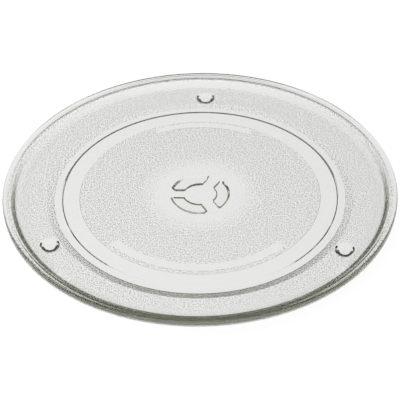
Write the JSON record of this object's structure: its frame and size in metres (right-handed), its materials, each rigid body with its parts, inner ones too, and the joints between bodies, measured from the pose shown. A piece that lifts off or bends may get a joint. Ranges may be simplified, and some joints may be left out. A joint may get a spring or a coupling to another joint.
{
  "type": "microwave turntable plate",
  "caption": "Round clear glass turntable plate for a microwave oven: a shallow dish with a raised lip, and feet, a roller-ring ridge and curved drive lugs moulded under it.",
  "frame": {"origin": "centre of the plate, on the plane of its feet", "axes": "+Z is the plate's axis, up out of the dish; +Y points to one of the feet"},
  "size_m": [0.4099, 0.41, 0.0204],
  "materials": {
    "clear_glass": "clear pressed glass with a faint green tint, smooth on top and stippled underneath"
  },
  "bodies": {
    "root": {"turntable_plate": "clear_glass"}
  },
  "joints": []
}
